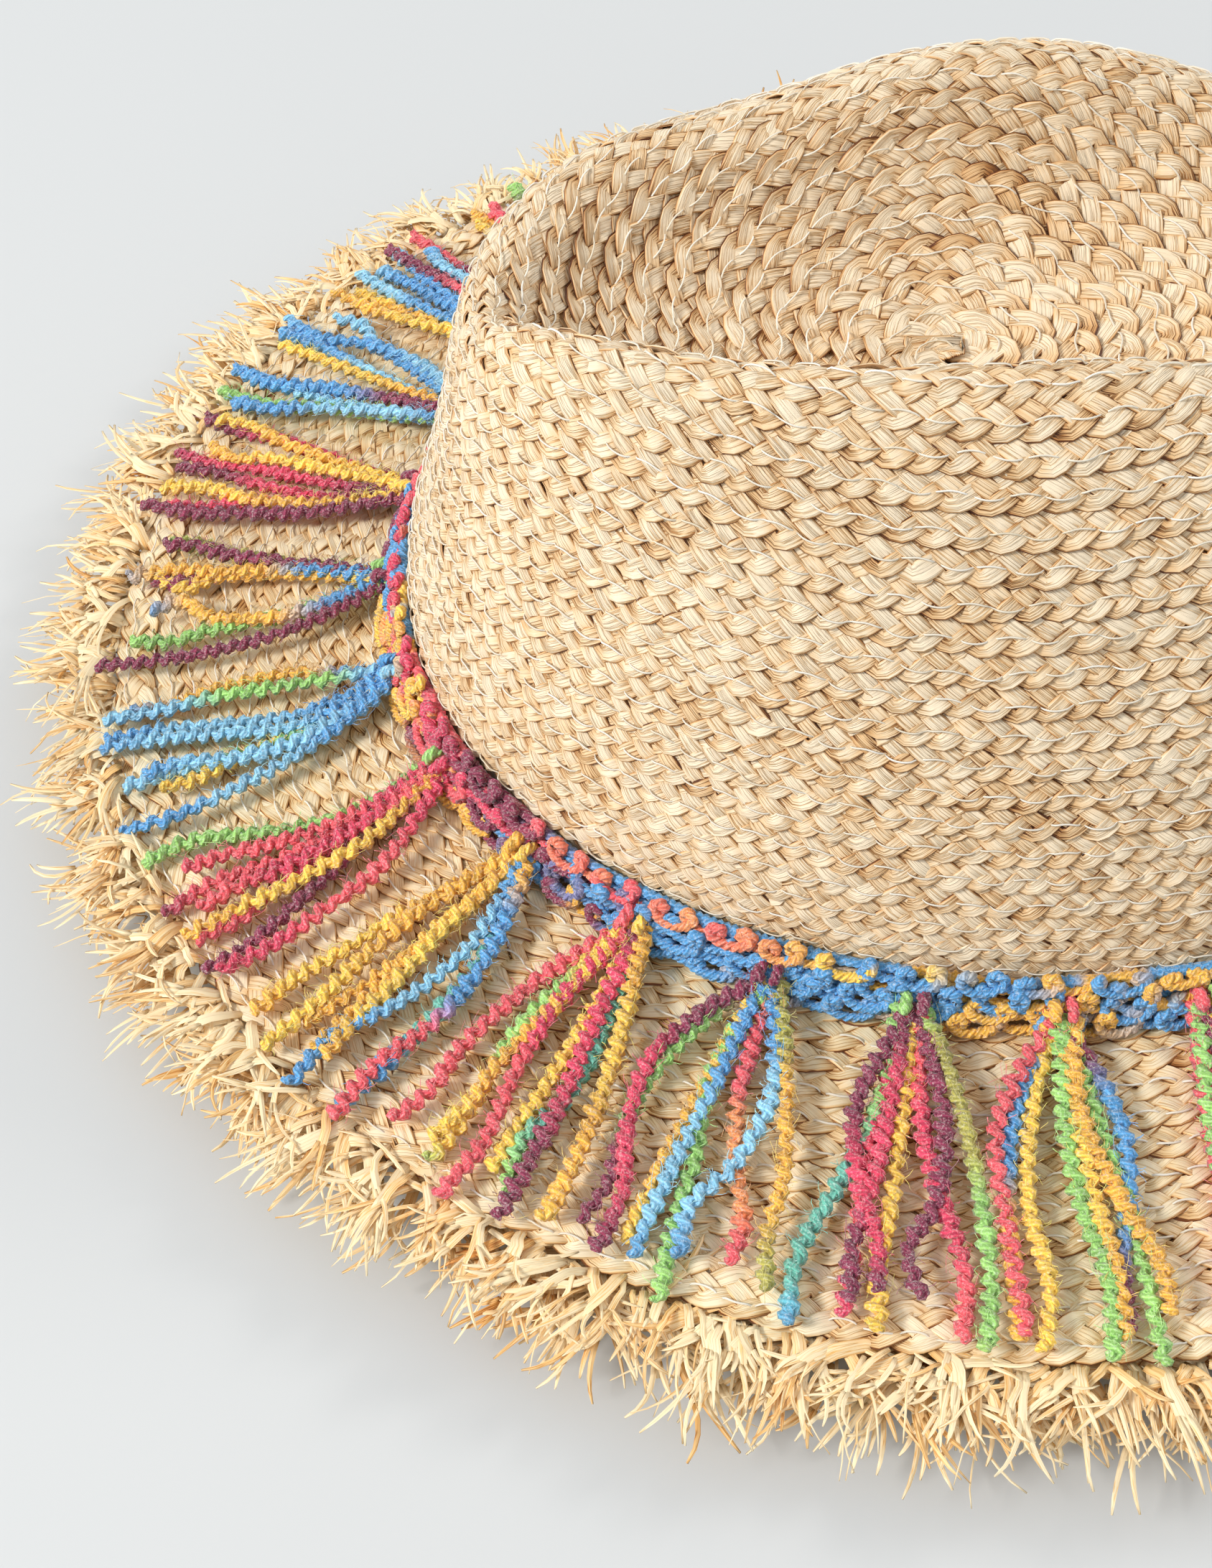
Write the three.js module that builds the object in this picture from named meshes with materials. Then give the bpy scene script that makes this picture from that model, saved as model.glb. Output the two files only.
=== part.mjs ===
// Straw sun hat: a dented crown and a flat brim of sewn plait, a raffia fringe,
// a crocheted yarn band and yarn tassels that lie on the brim.
// Millimetres, +Z up, origin under the middle of the hat on the surface it rests on.
// +X runs along the head oval, from the back of the head to the forehead.

import * as THREE from 'three';

// Head oval, at the outside of the crown's foot
const HEAD_HALF_LENGTH = 102.5;
const HEAD_HALF_WIDTH = 88;

// Crown plait
const PLAIT_THICKNESS = 3;
const GAP = 0.3;
const RIM_ROW = 7;
const RIM_SEAM = 0.12;
const RIM_BEVEL = 0.45;
const DENT_CENTRE_SHIFT = -15;

// The rim sinks in a front pinch on both sides and in a smaller one at the back of the left side,
// and stands up at the back of the right side
const FRONT_PINCH_DEPTH = 9;
const FRONT_PINCH_X = 48;
const FRONT_PINCH_WIDTH = 28;
const BACK_PINCH_DEPTH = 6;
const BACK_PINCH_X = -45;
const BACK_PINCH_WIDTH = 25;
const CORNER_RISE = 9.5;
const CORNER_ANGLE = 3.665;
const CORNER_SPREAD = 0.45;

// Rows of the crown from its foot, over the rim and down to the middle of the dent:
// half-length, half-width, height at the ends, height at the sides, squareness,
// share of the rim's sinks and rises
const CROWN_ROWS = [
  [101.0, 86.5, 19.3, 19.3, 2.0, 0],
  [102.5, 88.0, 25.0, 25.0, 2.0, 0],
  [101.5, 85.0, 36.0, 38.0, 2.05, 0],
  [97.5, 76.0, 51.0, 57.0, 2.15, 0],
  [94.5, 64.5, 65.0, 76.0, 2.25, 0.2],
  [92.5, 53.0, 76.5, 92.5, 2.35, 0.6],
  [90.5, 44.0, 83.5, 101.5, 2.45, 1],
  [86.0, 38.0, 86.5, 104.0, 2.5, 1],
  [79.5, 33.5, 84.5, 99.5, 2.4, 0.7],
  [68.5, 28.0, 79.5, 88.5, 2.3, 0.3],
  [51.0, 20.5, 75.5, 79.5, 2.15, 0],
  [28.0, 12.0, 73.5, 75.0, 2.0, 0],
  [4.0, 2.0, 73.0, 73.0, 2.0, 0],
];

// Brim
const BRIM_INNER = -4.5;
const BRIM_WIDTH_ENDS = 53;
const BRIM_WIDTH_SIDES = 57;
const BRIM_TOP = 19;
const BRIM_DROP = 6.2;
const EDGE_WIDTH = 6.5;
const EDGE_RISE = 0.2;
const EDGE_THICKNESS = 4.4;

// Raffia fringe, sewn under the edge plait
const FRINGE_REACH = 15.5;

// Yarn band and tassels
const BAND_INNER = 0.5;
const BAND_OUTER = 3.6;
const BAND_BOTTOM = 19.2;
const BAND_TOP = 27.4;
const TASSEL_COUNT = 28;
const TASSEL_PHASE = 0.61;
const OVAL_EVENING = 0.0375;
const TASSEL_START = 6.3;
const TASSEL_END_MARGIN = 1.5;
const TASSEL_ROOT_WIDTH = 5;
const TASSEL_TIP_WIDTH = 26;
const TASSEL_THICKNESS = 2.2;
const TASSEL_CLEARANCE = 0.6;

// Sweatband and care label
const SWEATBAND_THICKNESS = 1.2;
const SWEATBAND_CLEARANCE = 0.5;
const SWEATBAND_TOP_ROW = 2.4;
const LABEL_SIZE = [0.6, 14, 20];

const AROUND = 48;

const STRAW = { color: 0xe6cc9c, roughness: 0.62, metalness: 0 };
const RAFFIA = { color: 0xd9b67c, roughness: 0.6, metalness: 0 };
const YARN = { color: 0xe2a53a, roughness: 0.95, metalness: 0 };
const COTTON = { color: 0xe9dfc8, roughness: 0.9, metalness: 0 };
const LABEL = { color: 0xf4f1e8, roughness: 0.8, metalness: 0 };

const hat = new THREE.Group();

function addMesh(name, geometry, look) {
  const mesh = new THREE.Mesh(geometry, new THREE.MeshStandardMaterial(look));
  mesh.name = name;
  hat.add(mesh);
  return mesh;
}

// A closed solid through loops of points. The loops join head to tail as a ring does,
// or, with end points given, start and finish in those points as a disc does.
function loft(loops, ends) {
  const around = loops[0].length;
  const positions = loops.flat().flatMap((point) => point.toArray());
  const index = [];
  const bands = ends ? loops.length - 1 : loops.length;
  for (let j = 0; j < bands; j += 1) {
    const next = (j + 1) % loops.length;
    for (let i = 0; i < around; i += 1) {
      const side = (i + 1) % around;
      const a = j * around + i;
      const b = j * around + side;
      const c = next * around + side;
      const d = next * around + i;
      index.push(a, b, c, a, c, d);
    }
  }
  if (ends) {
    const first = loops.length * around;
    const last = (loops.length - 1) * around;
    positions.push(...ends[0].toArray(), ...ends[1].toArray());
    for (let i = 0; i < around; i += 1) {
      const side = (i + 1) % around;
      index.push(first, side, i);
      index.push(last + i, last + side, first + 1);
    }
  }
  const geometry = new THREE.BufferGeometry();
  geometry.setAttribute('position', new THREE.Float32BufferAttribute(positions, 3));
  geometry.setIndex(index);
  geometry.computeVertexNormals();
  return geometry;
}

function angles() {
  return Array.from({ length: AROUND }, (_, i) => (i * 2 * Math.PI) / AROUND);
}

// The head oval and what lies a distance outside it
function ovalNormal(angle) {
  const x = Math.cos(angle) / HEAD_HALF_LENGTH;
  const y = Math.sin(angle) / HEAD_HALF_WIDTH;
  return new THREE.Vector2(x, y).normalize();
}

function ovalPoint(angle, outside, z) {
  const normal = ovalNormal(angle);
  return new THREE.Vector3(
    HEAD_HALF_LENGTH * Math.cos(angle) + normal.x * outside,
    HEAD_HALF_WIDTH * Math.sin(angle) + normal.y * outside,
    z,
  );
}

function brimWidth(angle) {
  return BRIM_WIDTH_ENDS + (BRIM_WIDTH_SIDES - BRIM_WIDTH_ENDS) * Math.sin(angle) ** 2;
}

function brimTop(angle, outside) {
  return BRIM_TOP - (BRIM_DROP * outside) / brimWidth(angle);
}

// A ring round the head oval. section(angle) gives its outline, anticlockwise,
// as pairs of distance outside the oval and height.
function ring(section) {
  const outlines = angles().map((angle) =>
    section(angle).map(([outside, z]) => ovalPoint(angle, outside, z)),
  );
  return loft(outlines[0].map((_, j) => outlines.map((outline) => outline[j])));
}

// Crown surface
function between(before, from, to, after, share) {
  const start = (to - before) / 2;
  const finish = (after - from) / 2;
  const square = share * share;
  const cube = square * share;
  return (
    from * (2 * cube - 3 * square + 1) +
    start * (cube - 2 * square + share) +
    to * (3 * square - 2 * cube) +
    finish * (cube - square)
  );
}

function crownRow(row) {
  const last = CROWN_ROWS.length - 1;
  const low = Math.min(Math.floor(row), last - 1);
  const at = (k) => CROWN_ROWS[Math.min(Math.max(k, 0), last)];
  return CROWN_ROWS[0].map((_, c) =>
    between(at(low - 1)[c], at(low)[c], at(low + 1)[c], at(low + 2)[c], row - low),
  );
}

// A smooth bump, 1 at its centre and fading to 0 either side
function bump(value, centre, width) {
  return Math.exp(-(((value - centre) / width) ** 2));
}

function crownPoint(angle, row) {
  const [halfLength, halfWidth, zEnds, zSides, squareness, share] = crownRow(row);
  const cos = Math.cos(angle);
  const sin = Math.sin(angle);
  const reach = (Math.abs(cos) ** squareness + Math.abs(sin) ** squareness) ** (-1 / squareness);
  const x = halfLength * reach * cos;
  const y = halfWidth * reach * sin;
  const sideways = (y / halfWidth) ** 2;
  const frontPinch = FRONT_PINCH_DEPTH * bump(x, FRONT_PINCH_X, FRONT_PINCH_WIDTH);
  const backPinch = y > 0 ? BACK_PINCH_DEPTH * bump(x, BACK_PINCH_X, BACK_PINCH_WIDTH) : 0;
  const rise = CORNER_RISE * bump(angle, CORNER_ANGLE, CORNER_SPREAD);
  const z = zEnds + (zSides - zEnds) * sideways + share * (rise - sideways * (frontPinch + backPinch));
  const intoDent = Math.max(0, row - RIM_ROW) / (CROWN_ROWS.length - 1 - RIM_ROW);
  return new THREE.Vector3(x + DENT_CENTRE_SHIFT * intoDent ** 2, y, z);
}

// The point a depth under the crown's outer surface
function crownUnder(angle, row, depth) {
  const step = 0.02;
  const last = CROWN_ROWS.length - 1;
  const point = crownPoint(angle, row);
  const around = crownPoint(angle + step, row).sub(crownPoint(angle - step, row));
  const along = crownPoint(angle, Math.min(row + step, last)).sub(crownPoint(angle, Math.max(row - step, 0)));
  const inward = along.cross(around).normalize();
  return point.addScaledVector(inward, depth);
}

function crownLoops(rows, depth) {
  return rows.map((row) => angles().map((angle) => crownUnder(angle, row, depth)));
}

function rowsBetween(from, to, count) {
  return Array.from({ length: count + 1 }, (_, i) => from + ((to - from) * i) / count);
}

function crownWall() {
  const outside = rowsBetween(0, RIM_ROW, 11);
  const inside = rowsBetween(0, RIM_ROW - RIM_BEVEL, 10);
  return loft([...crownLoops(outside, 0), ...crownLoops(inside.toReversed(), PLAIT_THICKNESS)]);
}

function crownTip() {
  const last = CROWN_ROWS.length - 1;
  const start = RIM_ROW + RIM_SEAM;
  const top = crownLoops(rowsBetween(start, last, 9), 0);
  const under = crownLoops(rowsBetween(start + RIM_BEVEL, last, 8).toReversed(), PLAIT_THICKNESS);
  const centre = new THREE.Vector3(DENT_CENTRE_SHIFT, 0, CROWN_ROWS[last][2]);
  const centreUnder = centre.clone().setZ(centre.z - PLAIT_THICKNESS);
  return loft([...under, ...top], [centreUnder, centre]);
}

function sweatband() {
  const rows = rowsBetween(0.15, SWEATBAND_TOP_ROW, 4);
  const outer = PLAIT_THICKNESS + SWEATBAND_CLEARANCE;
  const inner = outer + SWEATBAND_THICKNESS;
  return loft([...crownLoops(rows, outer), ...crownLoops(rows.toReversed(), inner)]);
}

function brim() {
  return ring((angle) => {
    const outer = brimWidth(angle) - EDGE_WIDTH - GAP;
    const top = [outer, outer / 2, BRIM_INNER];
    const bottom = top.toReversed();
    return [
      ...bottom.map((outside) => [outside, brimTop(angle, outside) - PLAIT_THICKNESS]),
      ...top.map((outside) => [outside, brimTop(angle, outside)]),
    ];
  });
}

function brimEdge() {
  return ring((angle) => {
    const outer = brimWidth(angle);
    const inner = outer - EDGE_WIDTH;
    const top = brimTop(angle, outer - EDGE_WIDTH / 2) + EDGE_RISE;
    const bottom = top - EDGE_THICKNESS;
    return [
      [inner, bottom + 1],
      [inner + 1, bottom],
      [outer - 1, bottom],
      [outer, bottom + 1.2],
      [outer, top - 1.2],
      [outer - 1, top - 0.1],
      [inner, top - 0.1],
    ];
  });
}

function fringe() {
  return ring((angle) => {
    const edge = brimWidth(angle);
    const root = brimTop(angle, edge) - EDGE_THICKNESS;
    return [
      [edge - 6, root - 3],
      [edge + 3, 0],
      [edge + 12, 0],
      [edge + FRINGE_REACH, 1.5],
      [edge + FRINGE_REACH, 4.5],
      [edge + 9, 9],
      [edge + 0.6, root + 2.6],
      [edge + 0.4, root - 0.1],
      [edge - 6, root - 0.1],
    ];
  });
}

function yarnBand() {
  const bevel = 1;
  return ring(() => [
    [BAND_INNER, BAND_BOTTOM],
    [BAND_OUTER - bevel, BAND_BOTTOM],
    [BAND_OUTER, BAND_BOTTOM + bevel],
    [BAND_OUTER, BAND_TOP - bevel],
    [BAND_OUTER - bevel, BAND_TOP],
    [BAND_INNER, BAND_TOP],
  ]);
}

// A fan of yarn: narrow at the knot, with a round end
function tasselShape(length) {
  const shape = new THREE.Shape();
  const half = TASSEL_TIP_WIDTH / 2;
  const shoulder = length - 6;
  shape.moveTo(0, -TASSEL_ROOT_WIDTH / 2);
  shape.lineTo(shoulder, -half);
  shape.quadraticCurveTo(length, -half * 0.75, length, 0);
  shape.quadraticCurveTo(length, half * 0.75, shoulder, half);
  shape.lineTo(0, TASSEL_ROOT_WIDTH / 2);
  shape.closePath();
  return shape;
}

// Even steps round the oval's rim rather than even steps of angle
function tasselAngle(number) {
  const step = ((number - 1 + TASSEL_PHASE) * 2 * Math.PI) / TASSEL_COUNT;
  return step + OVAL_EVENING * Math.sin(2 * step);
}

function addTassel(number) {
  const angle = tasselAngle(number);
  const length = brimWidth(angle) - TASSEL_END_MARGIN - TASSEL_START;
  const geometry = new THREE.ExtrudeGeometry(tasselShape(length), {
    depth: TASSEL_THICKNESS,
    bevelEnabled: false,
    curveSegments: 3,
  });
  const name = `tassel_${String(number).padStart(2, '0')}`;
  const tassel = addMesh(name, geometry, YARN);
  const normal = ovalNormal(angle);
  const slope = Math.atan(BRIM_DROP / brimWidth(angle));
  tassel.position.copy(ovalPoint(angle, TASSEL_START, brimTop(angle, TASSEL_START) + TASSEL_CLEARANCE));
  tassel.rotation.set(0, slope, Math.atan2(normal.y, normal.x), 'ZYX');
}

// A blank tab inside the back of the sweatband
function addCareLabel() {
  const [thickness, width, height] = LABEL_SIZE;
  const row = 1.2;
  const inside = crownUnder(Math.PI, row, PLAIT_THICKNESS + SWEATBAND_CLEARANCE + SWEATBAND_THICKNESS);
  const label = addMesh('care_label', new THREE.BoxGeometry(thickness, width, height), LABEL);
  label.position.set(inside.x + thickness + 1.6, 0, inside.z);
}

addMesh('crown_wall_braid', crownWall(), STRAW);
addMesh('crown_tip_braid', crownTip(), STRAW);
addMesh('brim_braid', brim(), STRAW);
addMesh('brim_edge_braid', brimEdge(), STRAW);
addMesh('raffia_fringe', fringe(), RAFFIA);
addMesh('yarn_band', yarnBand(), YARN);
addMesh('sweatband', sweatband(), COTTON);
addCareLabel();
for (let number = 1; number <= TASSEL_COUNT; number += 1) {
  addTassel(number);
}

export default hat;
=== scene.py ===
import math

import bpy
import numpy as np
from mathutils import Matrix, Vector


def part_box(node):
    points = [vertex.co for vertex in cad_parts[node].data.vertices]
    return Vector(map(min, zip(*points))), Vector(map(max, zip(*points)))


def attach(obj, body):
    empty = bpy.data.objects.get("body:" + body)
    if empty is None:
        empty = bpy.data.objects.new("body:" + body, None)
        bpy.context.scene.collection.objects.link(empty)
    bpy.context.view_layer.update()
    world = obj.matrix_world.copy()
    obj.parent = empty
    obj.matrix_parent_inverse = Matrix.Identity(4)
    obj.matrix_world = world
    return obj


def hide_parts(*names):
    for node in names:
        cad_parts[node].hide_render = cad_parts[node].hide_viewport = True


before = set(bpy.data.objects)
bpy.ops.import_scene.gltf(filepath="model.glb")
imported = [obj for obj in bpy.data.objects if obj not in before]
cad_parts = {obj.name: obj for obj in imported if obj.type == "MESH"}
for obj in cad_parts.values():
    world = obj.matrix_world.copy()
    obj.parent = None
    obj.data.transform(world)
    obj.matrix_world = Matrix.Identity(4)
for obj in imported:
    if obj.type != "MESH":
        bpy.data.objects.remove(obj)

# Straw sun hat. Lengths are millimetres in this script and become metres where the meshes are made.
MM = 0.001
TURN = 2 * math.pi
UP = np.array([0.0, 0.0, 1.0])
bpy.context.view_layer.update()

# Head oval and brim, as in the CAD
HEAD_HALF_LENGTH = 102.5
HEAD_HALF_WIDTH = 88.0
BRIM_WIDTH_ENDS = 53.0
BRIM_WIDTH_SIDES = 57.0
BRIM_TOP = 19.0
BRIM_DROP = 6.2
BRIM_WAVE = 0.5

# Rows of the crown, as in the CAD: half-length, half-width, height at the ends,
# height at the sides, squareness, share of the rim's sinks and rises
CROWN_ROWS = np.array([
    [101.0, 86.5, 19.3, 19.3, 2.0, 0],
    [102.5, 88.0, 25.0, 25.0, 2.0, 0],
    [101.5, 85.0, 36.0, 38.0, 2.05, 0],
    [97.5, 76.0, 51.0, 57.0, 2.15, 0],
    [94.5, 64.5, 65.0, 76.0, 2.25, 0.2],
    [92.5, 53.0, 76.5, 92.5, 2.35, 0.6],
    [90.5, 44.0, 83.5, 101.5, 2.45, 1],
    [86.0, 38.0, 86.5, 104.0, 2.5, 1],
    [79.5, 33.5, 84.5, 99.5, 2.4, 0.7],
    [68.5, 28.0, 79.5, 88.5, 2.3, 0.3],
    [51.0, 20.5, 75.5, 79.5, 2.15, 0],
    [28.0, 12.0, 73.5, 75.0, 2.0, 0],
    [4.0, 2.0, 73.0, 73.0, 2.0, 0],
])
RIM_ROW = 7
LAST_ROW = len(CROWN_ROWS) - 1
DENT_CENTRE_SHIFT = -15.0
FRONT_PINCH_DEPTH = 9.0
FRONT_PINCH_X = 48.0
FRONT_PINCH_WIDTH = 28.0
BACK_PINCH_DEPTH = 6.0
BACK_PINCH_X = -45.0
BACK_PINCH_WIDTH = 25.0
CORNER_RISE = 9.5
CORNER_ANGLE = 3.665
CORNER_SPREAD = 0.45

# Plait of the crown and brim. Its rows are counted outward on each.
CROWN_TURNS = 31
ROW_CROWDING = 0.2
BRIM_TURNS = 11
BRIM_PLAIT_SIZE = 0.8
BRIM_PERIOD = 26.0
EDGE_ROW = 10.7
ROW_PITCH = 6.0
STRANDS = 4
PLAIT_PERIOD = 21.0
PLAIT_STEPS = 17
PLAIT_REACH = 4.0
STRAW_WIDTH = 3.6
STRAW_THICKNESS = 0.42
PLAIT_WAVE = 0.4
PLAIT_TILT = 0.2
BRIM_TILT = 0.12
PLAIT_DEPTH = 1.7

# Running stitches
THREAD_RADIUS = 0.19
THREAD_SIDES = 3
THREAD_STEP = 0.65
THREAD_PLACE = 1.6
THREAD_SLANT = 0.6
THREAD_HEIGHT = 1.06
THREAD_DIVE = 1.3
STITCH = 5.0

TASSEL_COUNT = 28
TASSEL_PHASE = 0.61
OVAL_EVENING = 0.0375


# ---- camera

def place_camera():
    """The camera stands at the hat's long side, 51 degrees up, and sees its back half."""
    elevation = math.radians(50.66)
    azimuth = math.radians(-5.33)
    distance = 428.28
    focal_in_widths = 3289.97 / 1688
    across, upward = -67.97, -22.27
    back = Vector((
        math.sin(azimuth) * math.cos(elevation),
        -math.cos(azimuth) * math.cos(elevation),
        math.sin(elevation),
    ))
    right = Vector((math.cos(azimuth), math.sin(azimuth), 0))
    up = back.cross(right)
    place = (back * distance + right * across + up * upward) * MM
    data = bpy.data.cameras.new("camera")
    data.sensor_fit = "HORIZONTAL"
    data.sensor_width = 36
    data.lens = 36 * focal_in_widths
    data.clip_start = 0.01
    camera = bpy.data.objects.new("camera", data)
    camera.matrix_world = Matrix.Translation(place) @ Matrix((right, up, back)).transposed().to_4x4()
    bpy.context.collection.objects.link(camera)
    bpy.context.scene.camera = camera


# ---- surfaces

def crown_row(row):
    """The crown's measures at any row, smooth between the named ones."""
    low = np.minimum(row.astype(int), LAST_ROW - 1)
    share = (row - low)[:, None]
    before, start, finish, after = (CROWN_ROWS[np.clip(low + k, 0, LAST_ROW)] for k in (-1, 0, 1, 2))
    square, cube = share**2, share**3
    return (
        start * (2 * cube - 3 * square + 1)
        + (finish - before) / 2 * (cube - 2 * square + share)
        + finish * (3 * square - 2 * cube)
        + (after - start) / 2 * (cube - square)
    )


def bump(value, centre, width):
    """A smooth bump, 1 at its centre and fading to 0 either side."""
    return np.exp(-(((value - centre) / width) ** 2))


def crown_points(angle, row):
    """Points of the crown's outer surface, one for each angle at each row."""
    half_length, half_width, z_ends, z_sides, squareness, share = crown_row(row).T
    cos, sin = np.cos(angle)[:, None], np.sin(angle)[:, None]
    reach = (np.abs(cos) ** squareness + np.abs(sin) ** squareness) ** (-1 / squareness)
    x = half_length * reach * cos
    y = half_width * reach * sin
    sideways = (y / half_width) ** 2
    front_pinch = FRONT_PINCH_DEPTH * bump(x, FRONT_PINCH_X, FRONT_PINCH_WIDTH)
    back_pinch = np.where(y > 0, BACK_PINCH_DEPTH, 0) * bump(x, BACK_PINCH_X, BACK_PINCH_WIDTH)
    rise = CORNER_RISE * bump(angle, CORNER_ANGLE, CORNER_SPREAD)[:, None]
    z = z_ends + (z_sides - z_ends) * sideways + share * (rise - sideways * (front_pinch + back_pinch))
    into_dent = np.maximum(0, row - RIM_ROW) / (LAST_ROW - RIM_ROW)
    return np.stack([x + DENT_CENTRE_SHIFT * into_dent**2, y, z], axis=-1)


class CrownChart:
    """The crown laid out by angle and by plait rows counted from the middle of the dent."""

    ANGLES = 720
    STEPS = 640
    SMOOTHING = 31
    SHARPEST = 0.09

    def __init__(self):
        angle = np.arange(self.ANGLES) * TURN / self.ANGLES
        row = np.linspace(LAST_ROW, 0, 900)
        fine = crown_points(angle, row)
        centre = fine[:, :1].mean(axis=0, keepdims=True)
        fine = np.concatenate([np.broadcast_to(centre, (self.ANGLES, 1, 3)), fine], axis=1)
        lengths = np.linalg.norm(np.diff(fine, axis=1), axis=2)
        walked = np.concatenate([np.zeros((self.ANGLES, 1)), np.cumsum(lengths, axis=1)], axis=1)
        share = np.linspace(0, 1, self.STEPS)
        self.points = np.empty((self.ANGLES, self.STEPS, 3))
        for i in range(self.ANGLES):
            for axis in range(3):
                self.points[i, :, axis] = np.interp(share * walked[i, -1], walked[i], fine[i, :, axis])
        around = np.roll(self.points, -1, axis=0) - np.roll(self.points, 1, axis=0)
        outward = np.gradient(self.points, axis=1)
        normals = np.cross(outward, around)
        normals[:, 0] = normals[:, 1].sum(axis=0)
        self.normals = normals / np.linalg.norm(normals, axis=2, keepdims=True)
        turning = np.gradient(self.normals, axis=1)
        bend = (turning * outward).sum(axis=2) / (outward * outward).sum(axis=2)
        window = np.ones(self.SMOOTHING) / self.SMOOTHING
        bend = np.stack([np.convolve(line, window, mode="same") for line in bend])
        self.flat = (1 - np.clip(bend / self.SHARPEST, 0, 1))[..., None]

    def look_up(self, table, angle, rows):
        angle = np.where(rows < 0, angle + math.pi, angle)
        a = (angle / TURN % 1.0) * self.ANGLES
        i = np.floor(a).astype(int) % self.ANGLES
        fa = (a - np.floor(a))[..., None]
        u = np.clip(np.abs(rows) / CROWN_TURNS, 0, 1)
        f = (u + ROW_CROWDING * u * (1 - u)) * (self.STEPS - 1)
        j = np.minimum(np.floor(f).astype(int), self.STEPS - 2)
        ff = (f - j)[..., None]
        k = (i + 1) % self.ANGLES
        near = table[i, j] * (1 - ff) + table[i, j + 1] * ff
        far = table[k, j] * (1 - ff) + table[k, j + 1] * ff
        return near * (1 - fa) + far * fa

    def flatness(self, angle, rows):
        """1 where the surface is flat or hollow and 0 on a sharp ridge."""
        return self.look_up(self.flat, angle, rows)[..., 0]

    def __call__(self, angle, rows, height):
        point = self.look_up(self.points, angle, rows)
        normal = self.look_up(self.normals, angle, rows)
        return point + normal * (height - PLAIT_DEPTH)[..., None]


def oval_point(angle, outside, z):
    """Points a distance outside the head oval."""
    cos, sin = np.cos(angle), np.sin(angle)
    nx, ny = cos / HEAD_HALF_LENGTH, sin / HEAD_HALF_WIDTH
    size = np.hypot(nx, ny)
    x = HEAD_HALF_LENGTH * cos + nx / size * outside
    y = HEAD_HALF_WIDTH * sin + ny / size * outside
    return np.stack([x, y, z + np.zeros_like(x)], axis=-1)


def brim_width(angle):
    return BRIM_WIDTH_ENDS + (BRIM_WIDTH_SIDES - BRIM_WIDTH_ENDS) * np.sin(angle) ** 2


def brim_top(angle, outside):
    share = outside / brim_width(angle)
    wave = BRIM_WAVE * np.sin(3 * angle + 0.6) * np.clip(share, 0, 1) ** 2
    return BRIM_TOP - BRIM_DROP * share + wave


def brim_chart(angle, rows, height):
    """The brim laid out by angle and by plait rows counted from the crown's foot."""
    outside = rows * (brim_width(angle) - 4.0) / BRIM_TURNS
    return oval_point(angle, outside, brim_top(angle, outside) - PLAIT_DEPTH + height)


# ---- mesh building

def uv_grid(along, across):
    """A map for a strand, from distances along it and places across it."""
    return np.stack(np.meshgrid(along, across, indexing="ij"), axis=-1)


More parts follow.
